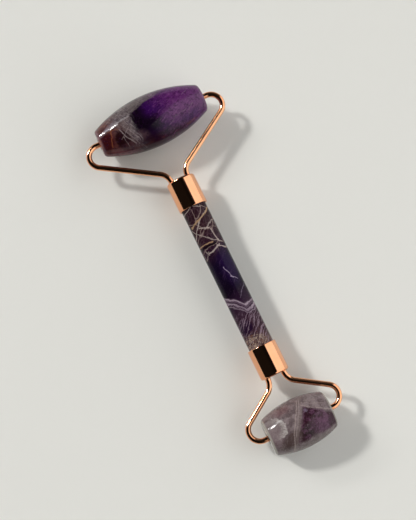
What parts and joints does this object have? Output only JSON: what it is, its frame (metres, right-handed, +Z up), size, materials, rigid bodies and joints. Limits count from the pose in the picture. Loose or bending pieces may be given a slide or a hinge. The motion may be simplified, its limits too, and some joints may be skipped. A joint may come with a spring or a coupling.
{
  "type": "face roller",
  "caption": "Double-ended face roller: banded amethyst handle, rose-gold ferrules and bent wire yokes, and a barrel-shaped stone spinning at each end, one long and one short.",
  "frame": {"origin": "centre of the tool's bounding box, on the surface that it lies on", "axes": "+Y along the handle towards the large roller, X along both roller axes, +Z up, square to the plane of the two wire yokes"},
  "size_m": [0.053, 0.1352, 0.0188],
  "materials": {
    "banded_amethyst": "polished",
    "deep_amethyst": "polished",
    "pale_amethyst": "polished",
    "rose_gold": "polished",
    "braze_alloy": "satin",
    "bright_steel": "satin",
    "clear_epoxy": "gloss",
    "bush_polymer": "satin"
  },
  "bodies": {
    "frame": {"handle_stone": "banded_amethyst", "large_ferrule": "rose_gold", "small_ferrule": "rose_gold", "large_left_arm": "rose_gold", "large_right_arm": "rose_gold", "small_left_arm": "rose_gold", "small_right_arm": "rose_gold", "large_left_braze": "braze_alloy", "large_right_braze": "braze_alloy", "small_left_braze": "braze_alloy", "small_right_braze": "braze_alloy", "large_stud": "bright_steel", "small_stud": "bright_steel", "large_epoxy": "clear_epoxy", "small_epoxy": "clear_epoxy"},
    "large_roller": {"large_roller_stone": "deep_amethyst", "large_left_bush": "bush_polymer", "large_right_bush": "bush_polymer"},
    "small_roller": {"small_roller_stone": "pale_amethyst", "small_left_bush": "bush_polymer", "small_right_bush": "bush_polymer"}
  },
  "joints": [
    {"name": "large_roller_spin", "type": "hinge", "parent": "frame", "child": "large_roller", "pos_m": [0, 0.0582, 0.0094], "axis": [1, 0, 0], "continuous": true},
    {"name": "small_roller_spin", "type": "hinge", "parent": "frame", "child": "small_roller", "pos_m": [0, -0.0589, 0.0094], "axis": [1, 0, 0], "continuous": true}
  ]
}
